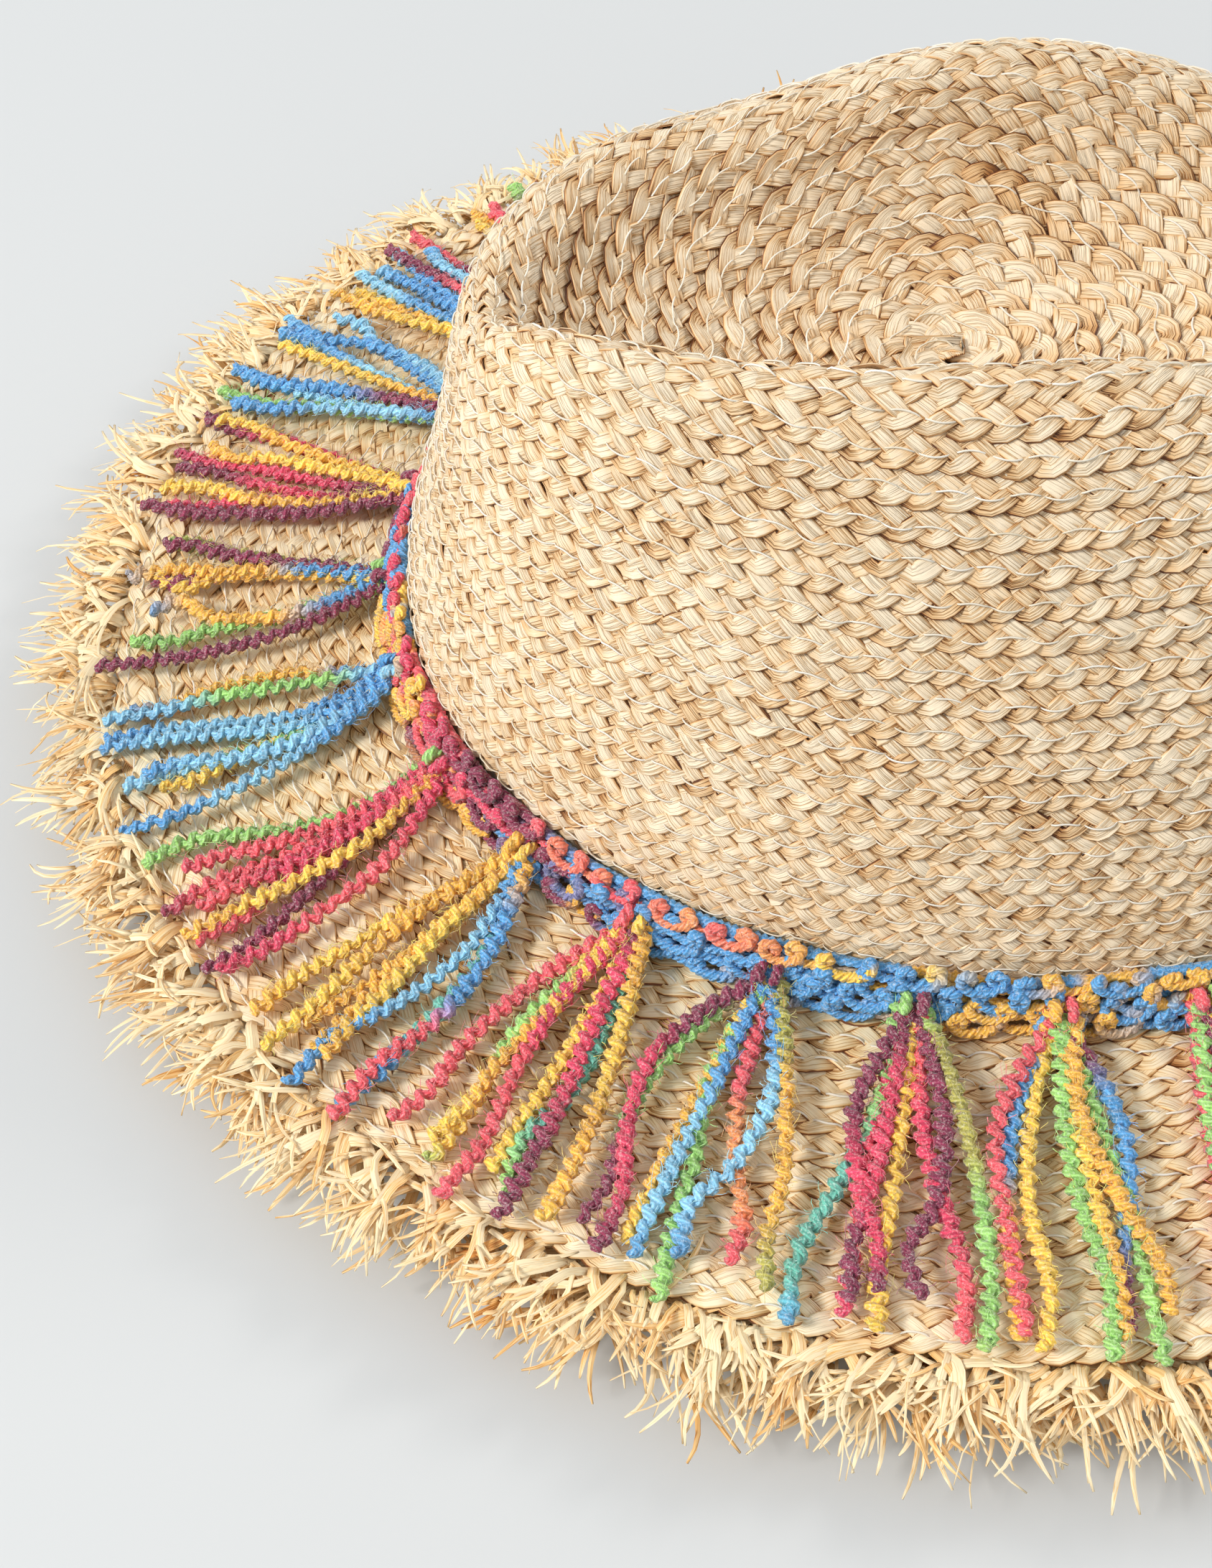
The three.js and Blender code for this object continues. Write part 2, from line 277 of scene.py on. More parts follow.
class Tubes:
    """Gathers closed tubes, each given as rings of points, into one mesh."""

    def __init__(self):
        self.points, self.quads, self.ends, self.colours = [], [], [], []
        self.quad_tones, self.end_tones = [], []
        self.quad_uvs, self.end_uvs = [], []
        self.count = 0

    def add(self, rings, tone=None, uv=None, colour=None, under=None):
        """Adds one tube. Its last side is its underside, which may have a tone of its own."""
        steps, sides = rings.shape[:2]
        at = self.count + np.arange(steps * sides).reshape(steps, sides)
        beside = np.roll(at, -1, axis=1)
        quads = np.stack([at[:-1], beside[:-1], beside[1:], at[1:]], axis=-1)
        self.quads.append(quads.reshape(-1, 4))
        self.ends += [at[0][::-1], at[-1]]
        self.points.append(rings.reshape(-1, 3))
        self.count += steps * sides
        if tone is not None:
            tone = np.broadcast_to(tone, (steps, sides))
            beside = np.roll(tone, -1, axis=1)
            around = np.stack([tone[:-1], beside[:-1], beside[1:], tone[1:]], axis=2)
            if under is not None:
                around[:, -1] = np.stack([under[:-1], under[:-1], under[1:], under[1:]], axis=1)
            self.quad_tones.append(around.reshape(-1))
            self.end_tones += [tone[0][::-1], tone[-1]]
        if colour is not None:
            self.colours.append(np.repeat(colour, sides, axis=0))
        if uv is not None:
            if uv.shape[1] == sides:
                uv = np.concatenate([uv, uv[:, :1]], axis=1)
            around = np.stack([uv[:-1, :-1], uv[:-1, 1:], uv[1:, 1:], uv[1:, :-1]], axis=2)
            self.quad_uvs.append(around.reshape(-1, 2))
            self.end_uvs += [uv[0, :-1][::-1], uv[-1, :-1]]

    def build(self, name, material, crisp=0):
        """Makes the piece. crisp is the number of sides of strands whose lengthwise edges are sharp."""
        points = np.concatenate(self.points) * MM
        quads = np.concatenate(self.quads)
        corners = np.concatenate([quads.reshape(-1)] + self.ends)
        sizes = np.concatenate([np.full(len(quads), 4), [len(end) for end in self.ends]]).astype(int)
        mesh = bpy.data.meshes.new(name)
        mesh.vertices.add(len(points))
        mesh.vertices.foreach_set("co", points.astype(np.float32).reshape(-1))
        mesh.loops.add(len(corners))
        mesh.loops.foreach_set("vertex_index", corners.astype(np.int32))
        mesh.polygons.add(len(sizes))
        starts = np.concatenate([[0], np.cumsum(sizes)[:-1]])
        mesh.polygons.foreach_set("loop_start", starts.astype(np.int32))
        mesh.polygons.foreach_set("use_smooth", np.ones(len(sizes), dtype=bool))
        mesh.update(calc_edges=True)
        if crisp:
            pairs = np.empty(len(mesh.edges) * 2, dtype=np.int32)
            mesh.edges.foreach_get("vertices", pairs)
            lengthwise = np.abs(pairs[::2] - pairs[1::2]) == crisp
            mesh.attributes.new("sharp_edge", "BOOLEAN", "EDGE").data.foreach_set("value", lengthwise)
        if self.quad_tones:
            tones = np.concatenate(self.quad_tones + self.end_tones).astype(np.float32)
            mesh.attributes.new("tone", "FLOAT", "CORNER").data.foreach_set("value", tones)
        if self.quad_uvs:
            uvs = np.concatenate(self.quad_uvs + self.end_uvs).astype(np.float32)
            mesh.uv_layers.new(name="strand").data.foreach_set("uv", uvs.reshape(-1))
        if self.colours:
            attribute = mesh.attributes.new("dye", "FLOAT_COLOR", "POINT")
            colours = np.concatenate(self.colours)
            colours = np.pad(colours, ((0, 0), (0, 1)), constant_values=1).astype(np.float32)
            attribute.data.foreach_set("color", colours.reshape(-1))
        mesh.materials.append(material)
        piece = bpy.data.objects.new(name, mesh)
        bpy.context.collection.objects.link(piece)
        return piece


def add_piece(tubes, name, material, body, slot, *nodes, crisp=0):
    """Makes a piece, on its body and in the place of the CAD nodes it stands for."""
    piece = tubes.build(name, material, crisp)
    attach(piece, body)
    if nodes:
        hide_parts(*nodes)
    return piece


def drift(rng, steps, spacing, size):
    """Smooth random values, one for each step, with a new one every few steps."""
    knots = max(2, int(steps / spacing) + 2)
    values = rng.normal(0, size, knots)
    at = np.linspace(0, knots - 1.001, steps)
    low = at.astype(int)
    share = at - low
    share = share * share * (3 - 2 * share)
    return values[low] * (1 - share) + values[low + 1] * share


COARSE_STEPS = 240

# How a straw runs in the plait: how sharply it turns at the sides, how much it narrows there,
# how high its middle stands and how far each of these and its lean wander
TURN_SHARPNESS = 0.985
SIDE_NARROWING = 0.4
SPLIT_MEAN, SPLIT_WANDER = 0.85, 0.42
STRETCH_WANDER = 0.05
REACH_WANDER = 0.06
WIDTH_WANDER = 0.1
HEIGHT_WANDER = 0.07
LEAN_WANDER = 0.12

# A straw's tone: its mean, its spread between straws and along them, and painted shade by height in the
# plait: darker where the straw dives under the others, lighter where it lies on top
STRAW_TONE = 0.65
TONE_SPREAD = 0.05
TONE_WANDER = 0.13
PAINTED_DEPTH_SHADE = 0.24

# Outline of a flat straw: place across it, height above its middle, and painted shade at each corner:
# dark at the edges where the straws meet, a touch lighter along the middle
STRAW_ACROSS = np.array([-1.0, -0.8, 0.0, 0.8, 1.0])
STRAW_HEIGHT = np.array([0.0, 0.9, 1.0, 0.9, 0.0])
STRAW_PAINTED_EDGE_SHADE = np.array([-0.9, -0.03, 0.05, -0.03, -0.9])


def add_plait(tubes, threads, chart, angle0, row0, turns, rows_each_turn, seed,
              size=1.0, tilt=PLAIT_TILT, lift=0.0, last_row=100.0, flatness=None, period=PLAIT_PERIOD):
    """A flat plait of four straws along a spiral, with the sewing thread that holds it.

    It keeps to last_row once it gets there, and doesn't tilt where flatness is 0."""
    rng = np.random.default_rng(seed)
    coarse = np.linspace(0, turns, int(turns * COARSE_STEPS) + 2)
    angle = angle0 + TURN * coarse
    rows = np.minimum(row0 + rows_each_turn * coarse, last_row)
    centre = chart(angle, rows, np.zeros_like(angle))
    walked = np.concatenate([[0], np.cumsum(np.linalg.norm(np.diff(centre, axis=0), axis=1))])
    sizes = size(rows) if callable(size) else np.full(len(rows), size)
    step = PLAIT_PERIOD * sizes.mean() / PLAIT_STEPS
    along = np.arange(0, walked[-1], step)
    steps = len(along)
    angle = np.interp(along, walked, angle)
    rows = np.interp(along, walked, rows)
    size = np.interp(along, walked, sizes)
    speed = np.gradient(along) / np.gradient(angle)
    tilt = np.full(steps, tilt) if flatness is None else tilt * flatness(angle, rows)
    stretch = 1 + drift(rng, steps, 60, STRETCH_WANDER)
    phase = np.cumsum(stretch / size) * step / period * TURN
    for strand in range(STRANDS):
        theta = phase + TURN * strand / STRANDS
        side = 2 / math.pi * np.arcsin(TURN_SHARPNESS * np.sin(theta))
        lateral = PLAIT_REACH * size * side * (1 + drift(rng, steps, 9, REACH_WANDER))
        slope = np.gradient(lateral) / step
        lean_size = np.hypot(1, slope)
        half = STRAW_WIDTH * size / 2 * (1 - SIDE_NARROWING * np.abs(side) ** 6)
        half = half * (1 + drift(rng, steps, 7, WIDTH_WANDER))
        height = PLAIT_WAVE * np.sin((STRANDS - 1) * theta + math.pi / 2)
        height += drift(rng, steps, 8, HEIGHT_WANDER)
        top = np.tile(STRAW_HEIGHT, (steps, 1))
        top[:, 2] *= np.clip(SPLIT_MEAN + drift(rng, steps, 12, SPLIT_WANDER), 0.1, 1.15)
        lean = drift(rng, steps, 7, LEAN_WANDER)
        across = STRAW_ACROSS[None, :] * half[:, None]
        shift_along = -across * (slope / lean_size)[:, None]
        side_place = lateral[:, None] + across / lean_size[:, None]
        h = height[:, None] + top * STRAW_THICKNESS + lift
        h = h + lean[:, None] * across + tilt[:, None] * side_place
        at_angle = angle[:, None] + shift_along / speed[:, None]
        at_rows = rows[:, None] + side_place / (ROW_PITCH * size)[:, None]
        rings = chart(at_angle, at_rows, h)
        base = rng.normal(STRAW_TONE, TONE_SPREAD) + drift(rng, steps, 12, TONE_WANDER)
        # The straw's own tone, plus painted shade by height in the plait and painted shade at its edges;
        # its underside keeps the own tone
        tone = base[:, None] + PAINTED_DEPTH_SHADE * (height / PLAIT_WAVE)[:, None] + STRAW_PAINTED_EDGE_SHADE
        uv = uv_grid(along + 37.0 * strand, STRAW_ACROSS * 0.5 + 0.5 + 3.1 * strand)
        tubes.add(rings, tone, uv, under=base)
    add_thread(threads, chart, angle, rows, along, rng, size, tilt, lift)


def add_thread(threads, chart, angle, rows, along, rng, size, tilt, lift):
    """Running stitches that show as slanted dashes near the row's free edge."""
    fine = np.arange(along[0], along[-1], THREAD_STEP)
    a = np.interp(fine, along, angle)
    r = np.interp(fine, along, rows)
    tilt = np.interp(fine, along, tilt)
    size = np.interp(fine, along, size)
    stitch = np.sin(math.pi * fine / STITCH)
    side = (THREAD_PLACE + THREAD_SLANT * stitch + drift(rng, len(fine), 20, 0.3)) * size
    height = THREAD_HEIGHT + drift(rng, len(fine), 9, 0.07) - THREAD_DIVE * (1 - np.abs(stitch)) ** 3
    rings = []
    for k in range(THREAD_SIDES):
        turn = k * TURN / THREAD_SIDES
        s = side + THREAD_RADIUS * math.cos(turn)
        h = height + THREAD_RADIUS * math.sin(turn)
        rings.append(chart(a, r + s / (ROW_PITCH * size), h + tilt * s + lift))
    rings = np.stack(rings, axis=1)
    threads.add(rings[:, ::-1], 0.5 + drift(rng, len(fine), 12, 0.2)[:, None])


# ---- materials

def linear(*screen):
    """A colour given in 0 to 255 screen values."""
    return tuple((v / 255) ** 2.2 for v in screen)


class Graph:
    """The nodes of a new material. Its methods give the socket that comes out of each node."""

    def __init__(self, name):
        self.material = bpy.data.materials.new(name)
        self.material.use_nodes = True
        self.tree = self.material.node_tree
        self.tree.nodes.clear()
        shader = self.node("BsdfPrincipled")
        self.shader = shader.inputs
        self.node("OutputMaterial", Surface=shader.outputs["BSDF"])

    def node(self, kind, **values):
        """A new node whose inputs are set by name."""
        node = self.tree.nodes.new("ShaderNode" + kind)
        for name, value in values.items():
            self.feed(node.inputs[name], value)
        return node

    def feed(self, socket, value):
        """Links a socket to another node's output, or gives it a value."""
        if isinstance(value, bpy.types.NodeSocket):
            self.tree.links.new(value, socket)
        else:
            socket.default_value = value

    def attribute(self, name):
        node = self.node("Attribute")
        node.attribute_name = name
        return node.outputs

    def strand_map(self):
        node = self.node("UVMap")
        node.uv_map = "strand"
        return node.outputs["UV"]

    def place(self):
        return self.node("TexCoord").outputs["Object"]

    def noise(self, vector, scale, detail=2.0, roughness=0.5):
        node = self.node("TexNoise", Vector=vector, Scale=scale, Detail=detail, Roughness=roughness)
        return node.outputs["Fac"]

    def maths(self, operation, first, second=0.0):
        node = self.node("Math")
        node.operation = operation
        self.feed(node.inputs[0], first)
        self.feed(node.inputs[1], second)
        return node.outputs[0]

    def add(self, value, extra, share):
        """The value and a share of something else."""
        return self.maths("ADD", value, self.maths("MULTIPLY", extra, share))

    def spread(self, value, source, target):
        """The value carried from one range to another, and kept inside it."""
        bounds = dict(zip(("From Min", "From Max", "To Min", "To Max"), (*source, *target)))
        return self.node("MapRange", Value=value, **bounds).outputs["Result"]

    def ramp(self, value, stops):
        node = self.node("ValToRGB", Fac=value)
        elements = node.color_ramp.elements
        while len(elements) < len(stops):
            elements.new(0.5)
        for element, (place, colour) in zip(elements, stops):
            element.position = place
            element.color = (*linear(*colour), 1)
        return node.outputs["Color"]

    def mix(self, blend, factor, *colours):
        node = self.node("Mix")
        node.data_type = "RGBA"
        node.blend_type = blend
        self.feed(node.inputs["Factor"], factor)
        sockets = [socket for socket in node.inputs if socket.type == "RGBA"]
        for socket, colour in zip(sockets, colours):
            self.feed(socket, colour)
        return [socket for socket in node.outputs if socket.type == "RGBA"][0]

    def finish(self, colour, roughness, height=None, strength=0.0, relief=0.0):
        """Sets the shader. relief is how deep the bump is, in metres."""
        self.feed(self.shader["Base Color"], colour)
        self.feed(self.shader["Roughness"], roughness)
        if height is not None:
            bump_node = self.node("Bump", Strength=strength, Distance=relief, Height=height)
            self.feed(self.shader["Normal"], bump_node.outputs["Normal"])
        return self.material


# Straw: how its pattern is stretched along and across it, how wide its dark splits are, and what its
# ribs, blotches and splits add to its tone
STRAW_STRETCH = (0.08, 6.0, 1.0)
SPLIT_REACH = 0.034
TONE_OFFSET, RIB_SHARE, BLOTCH_SHARE, SPLIT_SHARE = -0.8, 0.7, 0.2, 0.46
SPLIT_DEPTH = 0.5

# Yarn: length of one turn of its plies, and what its fibres and plies add to its shade; the plies' share
# is painted shade in the grooves between plies and painted highlight on their crests
PLY_TURN = 1.7
YARN_SHADE, FIBRE_SHARE, PLY_PAINTED_SHADE = 0.72, 0.7, 0.24
PLY_DEPTH = 0.6
# Pale colour the fibre specks are mixed toward: partly pale loose fibres, partly painted glint
PALE_FIBRE_AND_GLINT = (1.0, 0.96, 0.9, 1)


def straw_material(name, stops, roughness, relief):
    """Plaited or loose straw: the tone of each with the painted shade carried in it, fine ribs along it
    and dark splits between them.
    """
    graph = Graph(name)
    along = graph.node("Mapping", Vector=graph.strand_map(), Scale=STRAW_STRETCH).outputs["Vector"]
    ribs = graph.noise(along, 1.7, 3.0, 0.65)
    off_middle = graph.maths("ABSOLUTE", graph.maths("ADD", graph.noise(along, 0.95, 2.5), -0.5))
    split = graph.spread(off_middle, (0, SPLIT_REACH), (0, 1))
    value = graph.maths("ADD", graph.attribute("tone")["Fac"], TONE_OFFSET)
    value = graph.add(value, ribs, RIB_SHARE)
    value = graph.add(value, graph.noise(graph.place(), 45.0), BLOTCH_SHARE)
    value = graph.add(value, split, SPLIT_SHARE)
    rough = graph.spread(ribs, (0, 1), (roughness - 0.1, roughness + 0.12))
    height = graph.maths("ADD", graph.maths("MULTIPLY", split, SPLIT_DEPTH), ribs)
    return graph.finish(graph.ramp(value, stops), rough, height, 0.8, relief)


def thread_material():
    graph = Graph("sewing_thread")
    stops = [(0.0, (226, 212, 184)), (1.0, (252, 249, 240))]
    return graph.finish(graph.ramp(graph.attribute("tone")["Fac"], stops), 0.6)


def yarn_material():
    """Space-dyed acrylic yarn: its dye, the plies twisted round the strand, and pale loose fibres with
    painted glints.
    """
    graph = Graph("yarn")
    fibres = graph.noise(graph.place(), 2600.0, 3.0, 0.7)
    axes = graph.node("SeparateXYZ", Vector=graph.strand_map()).outputs
    wound = graph.add(graph.maths("MULTIPLY", axes["X"], TURN / PLY_TURN), axes["Y"], 4 * TURN)
    plies = graph.maths("SINE", wound)
    # The dye's own random fibre tone, plus painted shade and highlight in stripes along the plies
    shade = graph.add(graph.maths("MULTIPLY", fibres, FIBRE_SHARE), plies, PLY_PAINTED_SHADE)
    shade = graph.maths("ADD", shade, YARN_SHADE)
    shaded = graph.mix("MULTIPLY", 1.0, graph.attribute("dye")["Color"], shade)
    # Painted glints: where the fibre noise is high the dye is mixed toward the pale colour, standing for
    # pale fibres and highlights
    glint = graph.spread(fibres, (0.5, 0.72), (0, 0.5))
    graph.shader["Sheen Weight"].default_value = 0.35
    graph.shader["Sheen Roughness"].default_value = 0.35
    height = graph.maths("ADD", graph.maths("MULTIPLY", plies, PLY_DEPTH), fibres)
    return graph.finish(graph.mix("MIX", glint, shaded, PALE_FIBRE_AND_GLINT), 0.7, height, 0.7, 0.00022)


def cotton_material(name, stops, scale):
    """Woven tape: two crossed sets of threads."""
    graph = Graph(name)
    threads = []
    for direction in ("X", "Y"):
        wave = graph.node("TexWave", Vector=graph.strand_map(), Scale=scale, Distortion=0.6)
        wave.bands_direction = direction
        threads.append(wave.outputs["Fac"])
    height = graph.maths("MULTIPLY", *threads)
    return graph.finish(graph.ramp(height, stops), 0.9, height, 0.6, 0.0002)


# Colours from the darkest tone to the lightest
STRAW_STOPS = [(0.0, (96, 50, 18)), (0.22, (184, 126, 70)), (0.45, (229, 184, 129)),
               (0.7, (244, 210, 164)), (1.0, (251, 231, 199))]
# The brim's straw: the crown's colours lightened, painted light that makes up for the shade the brim gets
# between its rows and under the yarn
BRIM_LIGHTENED_STOPS = [(0.0, (112, 62, 22)), (0.22, (190, 134, 74)), (0.45, (231, 189, 131)),
              (0.7, (246, 215, 165)), (1.0, (252, 234, 198))]
RAFFIA_STOPS = [(0.0, (170, 100, 42)), (0.25, (222, 154, 82)), (0.5, (244, 191, 117)),
                (0.75, (253, 213, 152)), (1.0, (254, 233, 190))]

STRAW = straw_material("straw", STRAW_STOPS, 0.5, relief=0.0004)
# The brim's straw, painted lighter than the crown's, with a shallower bump
BRIM_STRAW_LIGHTENED = straw_material("brim_straw_lightened", BRIM_LIGHTENED_STOPS, 0.5, relief=0.00015)
RAFFIA = straw_material("raffia", RAFFIA_STOPS, 0.5, relief=0.0001)
THREAD = thread_material()
YARN = yarn_material()
COTTON = cotton_material("cotton", [(0.0, (206, 194, 168)), (1.0, (240, 232, 212))], 260)
LABEL = cotton_material("label", [(0.0, (226, 222, 212)), (1.0, (250, 248, 242))], 420)


# ---- plait of crown and brim

def plait_piece(name, nodes, threads, parts, material):
    tubes = Tubes()
    for part in parts:
        add_plait(tubes, threads, **part)
    add_piece(tubes, name, material, "hat", "straw", *nodes, crisp=len(STRAW_ACROSS))


# Rows at which the plait is cut into pieces
RIM_CUT = 15.25
WALL_CUT = 24.25
BRIM_CUT = 5.5

crown = CrownChart()
crown_threads, brim_threads = Tubes(), Tubes()


def crown_size(rows):
    """The plait narrows from the middle of the dent to the crown's foot."""
    return 1.0 - 0.28 * rows / CROWN_TURNS


def crown_span(first, last, seed):
    return dict(chart=crown, angle0=TURN * first, row0=first, turns=last - first, rows_each_turn=1.0,
                seed=seed, size=crown_size, flatness=crown.flatness, last_row=CROWN_TURNS - 0.8)


def brim_span(first, last, seed):
    return dict(chart=brim_chart, angle0=TURN * (first + 0.35), row0=first, turns=last - first,
                rows_each_turn=1.0, seed=seed, size=BRIM_PLAIT_SIZE, period=BRIM_PERIOD, tilt=BRIM_TILT,
                last_row=BRIM_TURNS - 1.2)


for name, nodes, first, last, seed in (
    ("crown_tip_plait", ["crown_tip_braid"], 0.15, RIM_CUT, 11),
    ("crown_wall_plait_upper", ["crown_wall_braid"], RIM_CUT, WALL_CUT, 12),
    ("crown_wall_plait_lower", [], WALL_CUT, 31.2, 13),
):
    plait_piece(name, nodes, crown_threads, [crown_span(first, last, seed)], STRAW)
first_row = dict(brim_span(-0.2, 0.82, 18), rows_each_turn=0.0)
inner_rows = [first_row, brim_span(-0.1, BRIM_CUT, 14)]
plait_piece("brim_plait_inner", ["brim_braid"], brim_threads, inner_rows, BRIM_STRAW_LIGHTENED)
plait_piece("brim_plait_outer", [], brim_threads, [brim_span(BRIM_CUT, 10.6, 15)], BRIM_STRAW_LIGHTENED)
edge = dict(chart=brim_chart, row0=EDGE_ROW, turns=1.0, rows_each_turn=0.0, tilt=0.0, size=0.9)
edge_rows = [dict(edge, angle0=0.4, seed=16, lift=1.0), dict(edge, angle0=2.1, seed=17, lift=-2.0)]
plait_piece("brim_edge_plait", ["brim_edge_braid"], brim_threads, edge_rows, BRIM_STRAW_LIGHTENED)
add_piece(crown_threads, "crown_stitching", THREAD, "hat", "cotton")
add_piece(brim_threads, "brim_stitching", THREAD, "hat", "cotton")


# ---- raffia fringe

FRINGE_SHARE = 1.0

# The fringe's mean radius, the height its strips keep over the floor, and the cap on their thickness
EDGE_RADIUS = 152.0
FLOOR_GAP = 0.35
THICKNESS_CAP = 0.9

# Corners round a strip: place across it on its map, and painted shade: darker at its edges and underside,
# lighter on its top
STRIP_MAP = np.array([0.0, 0.5, 1.0, 0.5])
STRIP_PAINTED_SHADE = np.array([-0.06, -0.1, -0.06, 0.04])

# A strip's length and tone, and the width and length of the fibres that its end splits into
STRIP_LENGTH = (0.45, 0.75)
STRIP_TONE, STRIP_TONE_SPREAD = 0.84, 0.2
FIBRE_WIDTH = 0.65
FIBRE_LENGTH = (0.3, 0.7)


def add_ribbon(tubes, rng, root, headings, length, widths, lifts, fold, tone):
    """A strip of raffia. root is its angle, distance past the edge and height; headings turn away from
    straight out along its length; lifts are the heights it gains. Returns its path for splitting."""
    steps = len(headings)
    t = np.linspace(0, 1, steps)
    stride = length / (steps - 1)
    out = root[1] + np.concatenate([[0], np.cumsum(np.cos(headings[1:]))]) * stride
    aside = np.concatenate([[0], np.cumsum(np.sin(headings[1:]))]) * stride
    angle = root[0] + aside / EDGE_RADIUS
    height = np.maximum(root[2] + lifts, FLOOR_GAP)
    centre = oval_point(angle, brim_width(np.full(steps, root[0])) + out, height)
    forward = np.gradient(centre, axis=0)
    forward /= np.linalg.norm(forward, axis=1, keepdims=True) + 1e-9
    side = np.cross(forward, UP)
    side /= np.linalg.norm(side, axis=1, keepdims=True) + 1e-9
    normal = np.cross(side, forward)
    roll = rng.normal(0, 0.15) + rng.normal(0, 0.35) * t
    wide = side * np.cos(roll)[:, None] + normal * np.sin(roll)[:, None]
    thick = np.cross(wide, forward)
    outline = ((1, 0), (0, -0.1 + fold * 0.7), (-1, 0), (0, 0.14 + fold))
    half = widths / 2
    rings = np.stack([
        centre + wide * (half * a)[:, None] + thick * (np.minimum(half, THICKNESS_CAP) * b)[:, None]
        for a, b in outline
    ], axis=1)
    along = length * t + rng.uniform(0, 80)
    uv = uv_grid(along, STRIP_MAP * widths.max() / STRAW_WIDTH + rng.uniform(0, 50))
    # The strip's own tone, a little lighter towards its end, plus painted shade round it
    tubes.add(rings, (tone + 0.1 * t)[:, None] + STRIP_PAINTED_SHADE, uv)
    return angle, out, height


def add_tuft(tubes, rng, root, reach, turn, width, rises):
    """A raffia strip sewn in at the edge, with its end split into narrow curling fibres."""
    t = np.linspace(0, 1, 6)
    headings = rng.normal(0, turn) + rng.normal(0, 0.45) * t + rng.normal(0, 0.12, len(t))
    length = reach * rng.uniform(*STRIP_LENGTH)
    lifts = rng.uniform(*rises) * np.sin(t * 2.2) - rng.uniform(0.0, 2.8) * t**2
    tone = np.clip(rng.normal(STRIP_TONE, STRIP_TONE_SPREAD), 0.3, 1.2)
    widths = width * (0.8 + 0.25 * t)
    angles, outs, heights = add_ribbon(tubes, rng, root, headings, length, widths, lifts,
                                       rng.uniform(0.0, 0.3), tone)
    parts = max(2, round(width / FIBRE_WIDTH))
    for part in range(parts):
        place = (part + 0.5) / parts - 0.5
        curl = rng.normal(0, 0.45) + place * 0.6
        spread = headings[-1] + place * 0.35 + curl * t**1.6
        falls = -rng.uniform(-1.5, 2.2) * t**1.5 + rng.uniform(-0.4, 1.0) * np.sin(2.6 * t)
        tip = (angles[-2] + place * width * math.cos(headings[-1]) / EDGE_RADIUS,
               outs[-2] - place * width * math.sin(headings[-1]), heights[-2])
        narrow = width / parts * 1.2 * (1 - 0.6 * t**3)
        add_ribbon(tubes, rng, tip, spread, reach * rng.uniform(*FIBRE_LENGTH), narrow, falls,
                   rng.uniform(0, 0.3), tone + rng.normal(0, 0.08))


def fringe_tufts(name, count, seed, *nodes, start, height, reach, turn, width, rises):
    """A layer of tufts. start is how far past the edge and height how high their roots lie."""
    rng = np.random.default_rng(seed)
    tubes = Tubes()
    count = int(count * FRINGE_SHARE)
    for i in range(count):
        angle = TURN * (i + rng.uniform(-0.6, 0.6)) / count
        clump = 1 + 0.14 * math.sin(23 * angle + seed) + 0.1 * math.sin(61 * angle)
        root = (angle, rng.uniform(*start), rng.uniform(*height))
        add_tuft(tubes, rng, root, rng.uniform(*reach) * clump, turn, rng.uniform(*width), rises)
    add_piece(tubes, name, RAFFIA, "hat", "raffia", *nodes, crisp=len(STRIP_MAP))


def fringe_curls(name, count, seed):
    """Loose single fibres, curlier than the strips."""
    rng = np.random.default_rng(seed)
    tubes = Tubes()
    t = np.linspace(0, 1, 8)
    count = int(count * FRINGE_SHARE)
    for i in range(count):
        angle = TURN * (i + rng.uniform(-0.6, 0.6)) / count
        headings = rng.normal(0, 0.5) + rng.normal(0, 0.8) * t**1.4 + rng.normal(0, 0.12, len(t))
        lifts = rng.uniform(-0.5, 4.0) * np.sin(2.5 * t) - rng.uniform(-2.0, 6.0) * t**2
        widths = rng.uniform(0.3, 0.9) * (1 - 0.6 * t)
        root = (angle, rng.uniform(-3.0, 2.0), rng.uniform(8.0, 12.0))
        add_ribbon(tubes, rng, root, headings, rng.uniform(7, 17), widths, lifts, 0.2,
                   np.clip(rng.normal(0.8, 0.15), 0.4, 1.1))
    add_piece(tubes, name, RAFFIA, "hat", "raffia", crisp=len(STRIP_MAP))


fringe_tufts("raffia_fringe_lower", 480, 31, "raffia_fringe", start=(-3.0, 0.5), height=(7.0, 9.5),
             reach=(11.5, 16.5), turn=0.6, width=(1.3, 3.2), rises=(0.0, 2.5))
fringe_tufts("raffia_fringe_upper", 680, 32, start=(-3.2, -1.0), height=(10.8, 12.7),
             reach=(12.0, 16.5), turn=0.8, width=(0.9, 2.6), rises=(0.6, 3.0))
fringe_tufts("raffia_fringe_top", 460, 34, start=(-1.8, 0.0), height=(12.4, 13.6),
             reach=(9.0, 14.5), turn=0.75, width=(0.8, 2.2), rises=(0.2, 1.6))
fringe_curls("raffia_fringe_curls", 800, 33)


# ---- yarn

DYES = {
    "yellow": linear(255, 206, 84),
    "ochre": linear(246, 184, 74),
    "orange": linear(250, 154, 92),
    "blue": linear(90, 160, 216),
    "sky": linear(142, 202, 234),
    "green": linear(156, 208, 112),
    "teal": linear(106, 184, 164),
    "coral": linear(243, 94, 104),
    "crimson": linear(222, 68, 98),
    "burgundy": linear(138, 52, 80),
    "olive": linear(186, 178, 88),
}


